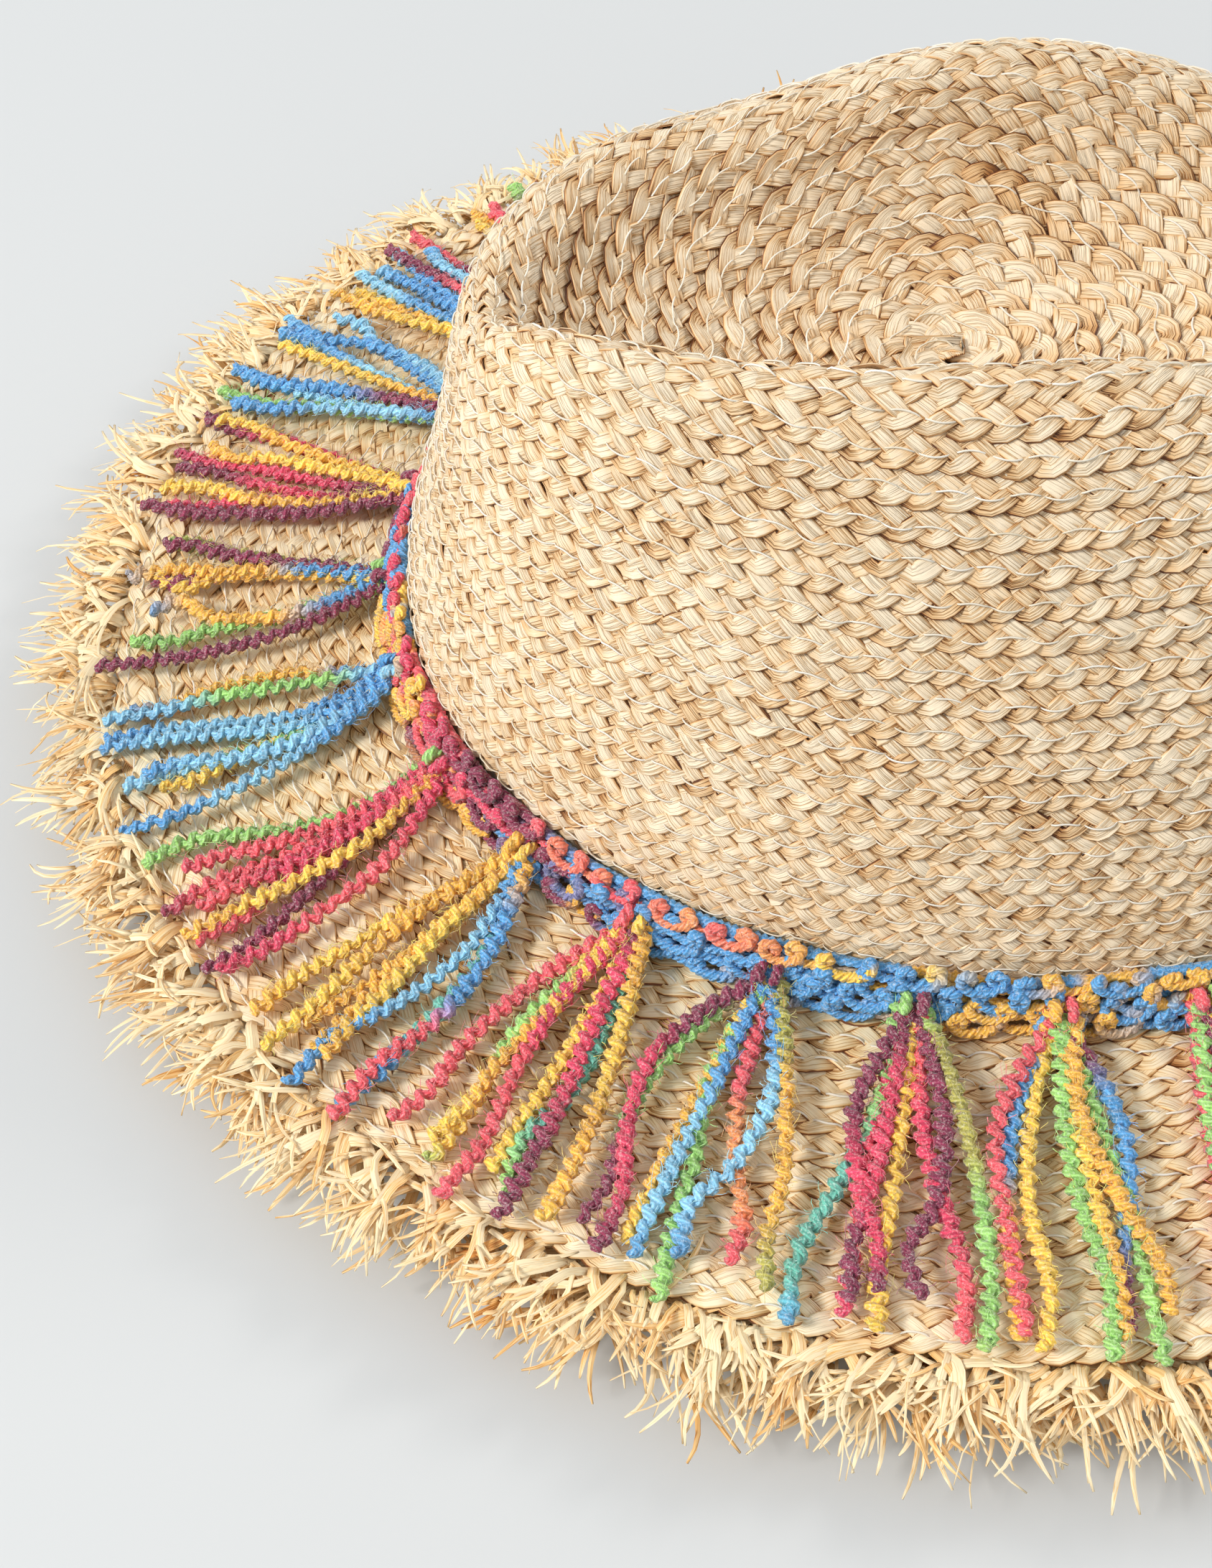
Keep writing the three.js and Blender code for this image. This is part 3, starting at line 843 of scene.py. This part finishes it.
def dyed(rng, steps, step, names, longest=34.0):
    """Colours along a strand that runs through the named dyes, blending between them."""
    length = steps * step
    lengths = []
    while sum(lengths) < length + longest:
        lengths.append(rng.uniform(0.45, 1.0) * longest)
    stops = np.concatenate([[0], np.cumsum(lengths)]) - rng.uniform(0, 0.35) * longest
    colours = np.array([DYES[names[i % len(names)]] for i in range(len(stops))])
    along = np.arange(steps) * step
    blend = np.searchsorted(stops, along, side="right") - 1
    blend = np.clip(blend, 0, len(stops) - 2)
    share = (along - stops[blend]) / (stops[blend + 1] - stops[blend])
    share = np.clip((share - 0.72) / 0.28, 0, 1)[:, None]
    mixed = colours[blend] * (1 - share) + colours[blend + 1] * share
    return mixed * (1 + drift(rng, steps, 10, 0.08))[:, None]


YARN_SIDES = 5
PLIES = 2
PLY_RADIUS = 0.7
PLY_OFFSET = 0.42
HAIR_RADIUS = 0.055


def frame_along(path, up):
    """The directions along a path, to its side and over it, and the distance walked."""
    forward = np.gradient(path, axis=0)
    length = np.linalg.norm(forward, axis=1)
    forward /= length[:, None]
    side = np.cross(forward, up)
    side /= np.linalg.norm(side, axis=1, keepdims=True)
    return forward, side, np.cross(side, forward), np.cumsum(length)


def add_ply(tubes, centre, up, radius, colours):
    """One ply of a strand, with its map for the fibres twisted round it."""
    _, side, over, walked = frame_along(centre, up)
    turns = -TURN * np.arange(YARN_SIDES) / YARN_SIDES
    rings = np.stack([
        centre + side * (radius * np.cos(turn))[:, None] + over * (radius * np.sin(turn))[:, None]
        for turn in turns
    ], axis=1)
    tubes.add(rings, uv=uv_grid(walked, np.arange(YARN_SIDES + 1) / YARN_SIDES), colour=colours)


def add_hair(tubes, rng, root, out, along, colour):
    """A loose fibre standing out of a strand in a bow."""
    tip = root + (out + along * rng.normal(0, 1.2)) * rng.uniform(0.5, 1.6)
    bow = (root + tip) / 2 + out * 0.25 + rng.normal(0, 0.12, 3)
    line = np.stack([root, bow, tip])
    across = np.cross(out, along)
    corners = [across, -across * 0.5 - along, -across * 0.5 + along]
    ring = np.stack([line + corner * HAIR_RADIUS for corner in corners], axis=1)
    tubes.add(ring, uv=np.zeros((3, 3, 2)), colour=np.tile(np.minimum(colour * 1.25 + 0.1, 1), (3, 1)))


def add_yarn(tubes, rng, path, up, radius, crimp, colours, period, hairs=0):
    """A crimped strand of twisted plies along a path given in even steps, with loose hairs."""
    steps = len(path)
    forward, side, over, walked = frame_along(path, up)
    phase = TURN * walked / period + rng.uniform(0, TURN) + drift(rng, steps, 14, 0.5)
    size = crimp * (1 + drift(rng, steps, 12, 0.18))
    rise = 0.3 * size * np.sin(phase + 0.5)
    centre = path + side * (size * np.cos(phase))[:, None] + over * rise[:, None]
    thick = radius * (1 + drift(rng, steps, 9, 0.1))
    thick[0] *= 0.6
    thick[-1] *= 0.45
    twist = phase * 1.13 + rng.uniform(0, TURN)
    for ply in range(PLIES):
        turn = twist + TURN * ply / PLIES
        offset = side * (thick * np.cos(turn))[:, None] + over * (thick * np.sin(turn))[:, None]
        shade = 1 + 0.12 * (ply - 0.5) + drift(rng, steps, 8, 0.05)
        add_ply(tubes, centre + offset * PLY_OFFSET, up, thick * PLY_RADIUS, colours * shade[:, None])
    for _ in range(hairs):
        i = int(rng.integers(2, steps - 2))
        turn = rng.uniform(0, TURN)
        out = side[i] * math.cos(turn) + over[i] * abs(math.sin(turn))
        add_hair(tubes, rng, centre[i] + out * thick[i] * 0.9, out, forward[i], colours[i])


def smooth_path(points, step):
    """Even steps along a smooth curve through given points."""
    points = np.asarray(points, float)
    padded = np.concatenate([[2 * points[0] - points[1]], points, [2 * points[-1] - points[-2]]])
    fine = []
    for i in range(len(points) - 1):
        p = padded[i:i + 4]
        t = np.linspace(0, 1, 24, endpoint=False)[:, None]
        fine.append(
            0.5 * (2 * p[1] + (p[2] - p[0]) * t + (2 * p[0] - 5 * p[1] + 4 * p[2] - p[3]) * t**2
                   + (3 * p[1] - p[0] - 3 * p[2] + p[3]) * t**3)
        )
    fine = np.concatenate(fine + [points[-1:]])
    walked = np.concatenate([[0], np.cumsum(np.linalg.norm(np.diff(fine, axis=0), axis=1))])
    along = np.arange(0, walked[-1], step)
    return np.stack([np.interp(along, walked, fine[:, axis]) for axis in range(3)], axis=1)


YARN_STEP = 0.32
BUNCH_STRANDS = 8
FAN_WIDTH = (26, 31)
STRAND_RADIUS = (0.86, 1.06)
STRAND_CRIMP = (0.56, 0.78)
CRIMP_PERIOD = (2.3, 2.8)
HAIRS = 110

# A strand's way over the brim: distance out, shares of its tip's sideways place and of its bow, height
STRAND_WAY = [(11, 0.30, 0.5, 0.7), (22, 0.56, 1.0, 0.2), (34, 0.80, 0.6, 0.0)]

KNOT_PLACE, KNOT_HEIGHT = 4.3, 4.2
KNOT_HALF_WIDTH, KNOT_HALF_HEIGHT = 2.0, 2.4
KNOT_SPACING = 2.6
KNOT_START, KNOT_SWEEP = 0.6, 0.85 * TURN

# The dyes of each bunch, from the front of the head round by the left side; "|" parts the strands
ANY_BUNCHES = [
    "yellow ochre|coral crimson|blue sky|green olive|burgundy crimson|ochre yellow",
    "ochre yellow|yellow|burgundy|blue|green teal|coral",
    "blue sky|sky blue|green|crimson burgundy|yellow ochre|blue",
    "burgundy crimson|coral|yellow|green|ochre|blue teal",
    "yellow|ochre|blue teal|burgundy|coral orange|green",
    "crimson burgundy|coral|ochre|green|sky blue|yellow",
]
SEEN_BUNCHES = {
    9: "yellow|coral crimson|yellow ochre|blue sky|ochre yellow",
    10: "sky green|green burgundy|burgundy|coral crimson|ochre yellow|yellow blue",
    11: "coral burgundy|burgundy coral|blue sky|sky blue|yellow ochre|ochre yellow",
    12: "sky blue|ochre yellow|blue sky|burgundy blue|green|blue sky",
    13: "yellow ochre|ochre yellow|burgundy crimson|yellow ochre|coral crimson|burgundy",
    14: "green olive|ochre burgundy|yellow ochre|blue ochre|green|burgundy",
    15: "blue ochre|blue sky|sky green|blue sky|ochre yellow|blue sky",
    16: "crimson coral|burgundy coral|coral crimson|ochre yellow|burgundy|crimson coral|green",
    17: "ochre yellow|ochre|yellow ochre|blue sky|blue teal|ochre blue coral|yellow ochre",
    18: "yellow ochre|coral crimson|yellow|burgundy crimson|green teal|ochre yellow|coral|yellow green",
    19: "burgundy green|yellow ochre|green|blue sky|orange coral|olive ochre|burgundy crimson",
    20: "green teal blue|coral crimson|yellow|burgundy|coral crimson|green olive|burgundy crimson",
    21: "ochre blue|yellow|burgundy blue|ochre yellow|green|ochre|coral",
    22: "green|burgundy crimson|coral|yellow|blue sky|ochre",
}


def tassel_angle(number):
    step = TURN * (number - 1 + TASSEL_PHASE) / TASSEL_COUNT
    return step + OVAL_EVENING * math.sin(2 * step)


def brim_place(angle, outside, sideways, height):
    """A point over the brim: outward from the head oval and sideways from a radial line."""
    around = math.hypot(HEAD_HALF_LENGTH * math.sin(angle), HEAD_HALF_WIDTH * math.cos(angle)) + outside
    place = np.array([angle + sideways / around])
    return oval_point(place, outside, brim_top(place, outside) + height)[0]


def make_tassel(number):
    rng = np.random.default_rng(700 + number)
    angle = tassel_angle(number)
    bunch = SEEN_BUNCHES.get(number, ANY_BUNCHES[number % len(ANY_BUNCHES)]).split("|")
    tubes = Tubes()
    if len(bunch) < BUNCH_STRANDS:
        bunch += [bunch[i] for i in rng.integers(0, len(bunch), BUNCH_STRANDS - len(bunch))]
    order = np.argsort(np.arange(BUNCH_STRANDS) % 6 + rng.uniform(0, 0.9, BUNCH_STRANDS))
    bunch = [bunch[i] for i in order]
    skew = np.clip(rng.normal(0, 1.6), -1.2, 1.2)
    fan = rng.uniform(*FAN_WIDTH)
    for k, dyes in enumerate(bunch):
        spread = (k + 0.5) / BUNCH_STRANDS - 0.5
        end = brim_width(angle) - rng.uniform(-1.5, 8.0)
        tip = spread * fan + skew + rng.normal(0, 2.0)
        bow = rng.normal(0, 2.4)
        lay = 1.9 + k % 2
        points = [
            brim_place(angle, 2.4, spread * 3.0, 4.4 + rng.uniform(-0.6, 0.8)),
            brim_place(angle, 5.4, spread * 5.0, 3.4 + 0.5 * (k % 2)),
            *(brim_place(angle, out, tip * a + bow * b, lay + rise) for out, a, b, rise in STRAND_WAY),
            brim_place(angle, (STRAND_WAY[-1][0] + end) / 2, tip * 0.92 + rng.normal(0, 0.9), lay),
            brim_place(angle, end, tip, lay + rng.uniform(-0.2, 0.8)),
        ]
        path = smooth_path(points, YARN_STEP)
        colours = dyed(rng, len(path), YARN_STEP, dyes.split())
        add_yarn(tubes, rng, path, UP, rng.uniform(*STRAND_RADIUS), rng.uniform(*STRAND_CRIMP), colours,
                 period=rng.uniform(*CRIMP_PERIOD), hairs=HAIRS)
    add_knot(tubes, rng, angle, [DYES[strand.split()[0]] for strand in bunch])
    name = f"tassel_{number:02d}"
    add_piece(tubes, f"{name}_yarn", YARN, name, "yarn", name)


def add_knot(tubes, rng, angle, colours):
    """The knot that hooks a bunch to the band: two turns of yarn side by side."""
    tangent = np.array([-math.sin(angle), math.cos(angle), 0.0])
    for k in range(2):
        path = np.stack([
            brim_place(angle, KNOT_PLACE + KNOT_HALF_WIDTH * math.cos(turn), (k - 0.5) * KNOT_SPACING,
                       KNOT_HEIGHT + KNOT_HALF_HEIGHT * math.sin(turn))
            for turn in np.linspace(0, KNOT_SWEEP, 40) + KNOT_START
        ])
        colour = np.tile(colours[k], (len(path), 1))
        add_yarn(tubes, rng, path, tangent, 1.0, 0.15, colour, period=2.6)


# The band: its mean radius, and the length and half-height of its stitches
BAND_RADIUS = 97.0
STITCH_PITCH = 4.7
STITCH_HEIGHT = 1.35
PLAIN_STEP = 0.012
LOOP_STEP = 0.0017

# Height and distance outside the head oval of each plain course
PLAIN_COURSES = ((20.6, 1.2), (22.8, 1.5), (24.8, 1.0), (26.4, 0.4))

# Dyes of each course of the band, lowest first, from +X by the left side and the back to the right side
BAND_DYES = [
    "coral ochre blue yellow burgundy coral yellow crimson blue yellow blue burgundy "
    "yellow ochre burgundy blue blue ochre blue ochre blue yellow coral blue",
    "blue yellow coral green ochre blue coral burgundy yellow yellow coral blue "
    "ochre crimson burgundy blue blue blue ochre blue yellow ochre blue coral",
    "ochre green yellow crimson blue ochre coral yellow blue ochre crimson blue "
    "yellow coral burgundy blue blue ochre blue yellow ochre blue yellow green",
    "yellow blue ochre coral burgundy yellow ochre green yellow crimson coral crimson "
    "yellow crimson burgundy coral yellow blue ochre blue yellow coral blue ochre",
]


def make_band():
    """The crocheted band: courses of looped stitches over plain ones, round the foot of the crown."""
    rng = np.random.default_rng(41)
    lower, upper = Tubes(), Tubes()
    around = np.arange(0, TURN, PLAIN_STEP)
    steps = len(around)
    for z, outside in PLAIN_COURSES:
        outside = outside + drift(rng, steps, 12, 0.15)
        path = oval_point(around, outside, z + drift(rng, steps, 12, 0.15))
        add_yarn(lower, rng, path, UP, 1.1, 0.0, band_colours(rng, around, BAND_DYES[2]), period=2.6)
    around = np.arange(0, TURN, LOOP_STEP)
    steps = len(around)
    for z, outside, dyes, tubes in (
        (20.4, 4.3, 0, lower), (22.4, 3.4, 2, lower), (24.5, 2.8, 1, upper), (26.5, 1.7, 3, upper),
    ):
        loop = around * BAND_RADIUS * TURN / STITCH_PITCH + 2 * z + drift(rng, steps, 70, 1.6)
        tall = STITCH_HEIGHT * (1 + drift(rng, steps, 50, 0.35))
        height = z + tall * np.sin(loop) + drift(rng, steps, 150, 0.25)
        place = outside + 0.6 * np.cos(loop * 0.5 + z) - 0.3 * np.sin(loop)
        path = oval_point(around + 1.9 * np.cos(loop) / BAND_RADIUS, place, height)
        colours = band_colours(rng, around, BAND_DYES[dyes])
        add_yarn(tubes, rng, path, UP, 0.92, 0.0, colours, period=2.6)
    for name, tubes in (("yarn_band_lower_courses", lower), ("yarn_band_upper_courses", upper)):
        add_piece(tubes, name, YARN, "hat", "yarn", "yarn_band")


def band_colours(rng, around, names):
    colours = np.array([DYES[name] for name in names.split()])
    at = around / TURN * len(colours) + drift(rng, len(around), len(around) / 75, 0.55)
    low = np.floor(at).astype(int)
    share = np.clip((at - low - 0.7) / 0.3, 0, 1)[:, None]
    return colours[low % len(colours)] * (1 - share) + colours[(low + 1) % len(colours)] * share


make_band()
for number in range(1, TASSEL_COUNT + 1):
    make_tassel(number)


# ---- sweatband and label

# Half the gap between the tape's ends as an angle, and its radius and girth in metres for its weave
TAPE_END_GAP = 0.001
TAPE_RADIUS = 0.095
TAPE_GIRTH = 0.05

LABEL_BOW = 0.8


def make_sweatband():
    """A folded cotton tape round the inside of the head opening. Its ends meet at the back."""
    around = math.pi + np.linspace(TAPE_END_GAP, TURN - TAPE_END_GAP, 361)
    profile = [(30.1, 4.6), (29.0, 4.9), (27.3, 5.0), (25.6, 5.1), (24.8, 5.0),
               (24.8, 4.3), (25.6, 4.2), (27.3, 4.2), (29.0, 4.1), (30.0, 3.6)]
    rings = []
    for rows, depth in profile:
        ripple = 0.12 * np.sin(around * 40) * (rows < 28)
        rings.append(crown(around, np.full(len(around), rows), PLAIT_DEPTH - depth + ripple))
    rings = np.stack(rings, axis=1)
    tubes = Tubes()
    tubes.add(rings, uv=uv_grid(around * TAPE_RADIUS, np.linspace(0, TAPE_GIRTH, len(profile))))
    piece = add_piece(tubes, "sweatband_tape", COTTON, "hat", "cotton", "sweatband")


def make_label():
    """A blank woven tab, bowed a little, sewn in at the back."""
    low, high = (np.array(corner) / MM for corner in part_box("care_label"))
    centre = (low + high) / 2
    half = (high - low) / 2
    t = np.linspace(-1, 1, 14)[:, None]
    rings = np.empty((len(t), 4, 3))
    rings[..., 0] = centre[0] + LABEL_BOW * (1 - t * t) + np.array([0.25, 0.25, -0.05, -0.05])
    rings[..., 1] = centre[1] + half[1] * np.array([-1, 1, 1, -1])
    rings[..., 2] = centre[2] + half[2] * t
    tubes = Tubes()
    tubes.add(rings, uv=rings[..., 1:] * MM)
    add_piece(tubes, "care_label_tab", LABEL, "hat", "label", "care_label")


make_sweatband()
make_label()


# ---- floor and light

FLOOR_HALF_SIZE = 30.0
LIGHT_TARGET = Vector((0, 0, 0.05))
LIGHT_SIZE = 0.5


def make_floor():
    size = FLOOR_HALF_SIZE
    mesh = bpy.data.meshes.new("floor")
    corners = [(-size, -size, 0), (size, -size, 0), (size, size, 0), (-size, size, 0)]
    mesh.from_pydata(corners, [], [(0, 1, 2, 3)])
    mesh.materials.append(Graph("floor").finish((*linear(207, 209, 209), 1), 0.8))
    floor = bpy.data.objects.new("floor", mesh)
    bpy.context.collection.objects.link(floor)


def make_light(name, place, power, colour):
    data = bpy.data.lights.new(name, "AREA")
    data.shape = "DISK"
    data.size = LIGHT_SIZE
    data.energy = power
    data.color = colour
    light = bpy.data.objects.new(name, data)
    light.location = place
    light.rotation_euler = (LIGHT_TARGET - Vector(place)).to_track_quat("-Z", "Y").to_euler()
    bpy.context.collection.objects.link(light)


def make_world():
    world = bpy.data.worlds.new("world")
    world.use_nodes = True
    background = world.node_tree.nodes["Background"]
    background.inputs["Color"].default_value = (0.93, 0.96, 1.0, 1)
    background.inputs["Strength"].default_value = 0.67
    bpy.context.scene.world = world


place_camera()
make_floor()
make_world()
make_light("key", (-1.65, -0.5, 1.3), power=34.0, colour=(1.0, 0.985, 0.955))
make_light("back", (1.4, 0.6, 1.2), power=9.0, colour=(1.0, 0.97, 0.93))
bpy.context.scene.view_settings.view_transform = "Standard"
